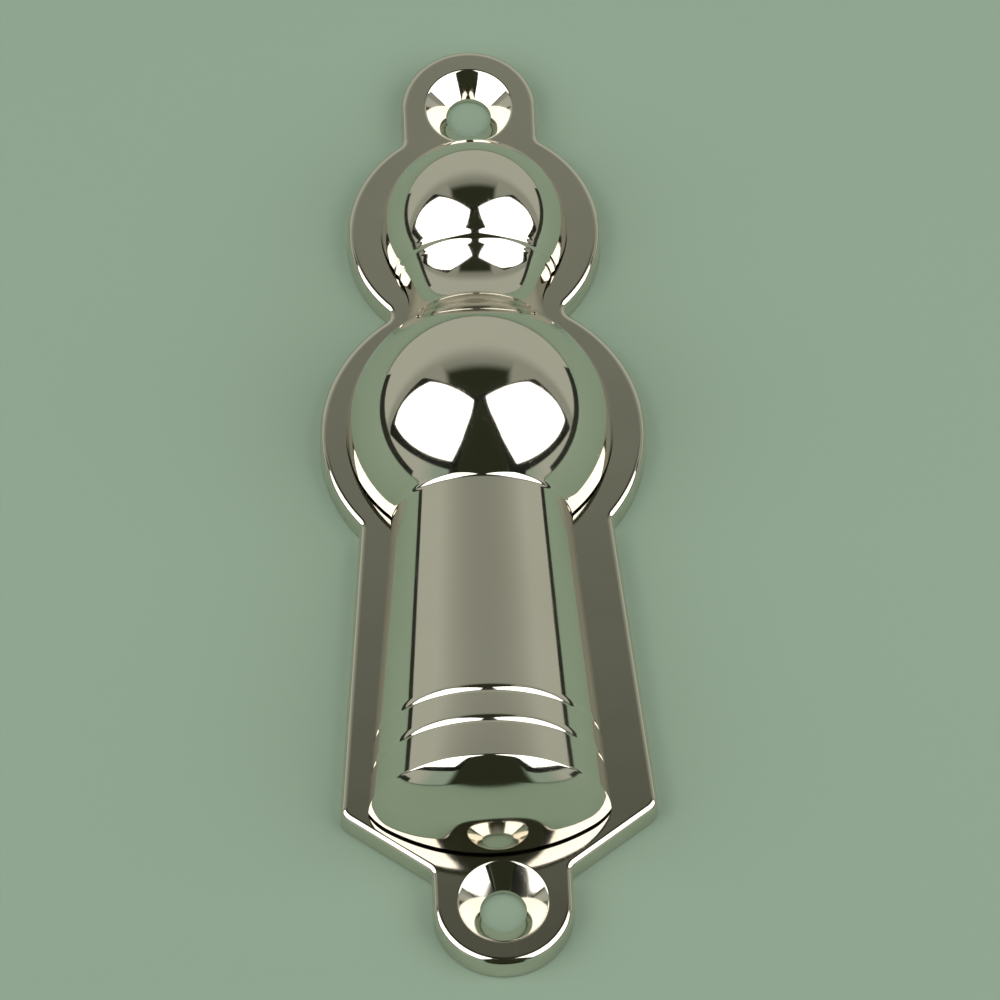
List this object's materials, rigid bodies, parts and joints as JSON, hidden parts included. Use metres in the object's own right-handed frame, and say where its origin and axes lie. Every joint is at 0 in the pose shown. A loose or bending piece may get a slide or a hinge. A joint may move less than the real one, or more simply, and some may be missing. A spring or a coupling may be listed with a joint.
{
  "type": "keyhole escutcheon",
  "caption": "Covered keyhole escutcheon: a tabbed screw-on plate with a keyhole, and a hollow half-turned cover with balls and a flared skirt that swings aside on a rivet.",
  "frame": {"origin": "midway between the two screw holes, on the plate's back face", "axes": "+X across the plate, +Y up the plate from the skirt's end to the pivot, +Z out of the polished face"},
  "size_m": [0.0284, 0.092, 0.0138],
  "materials": {
    "plate_nickel": "polished nickel plate over cast brass",
    "cover_nickel": "polished nickel plate over cast brass",
    "rivet_brass": "turned, dull"
  },
  "bodies": {
    "plate": {"back_plate": "plate_nickel"},
    "cover": {"swing_cover": "cover_nickel", "pivot_rivet": "rivet_brass"}
  },
  "joints": [
    {"name": "cover_swing", "type": "hinge", "parent": "plate", "child": "cover", "pos_m": [0, 0.027, 0.0024], "axis": [0, 0, 1], "continuous": true}
  ]
}
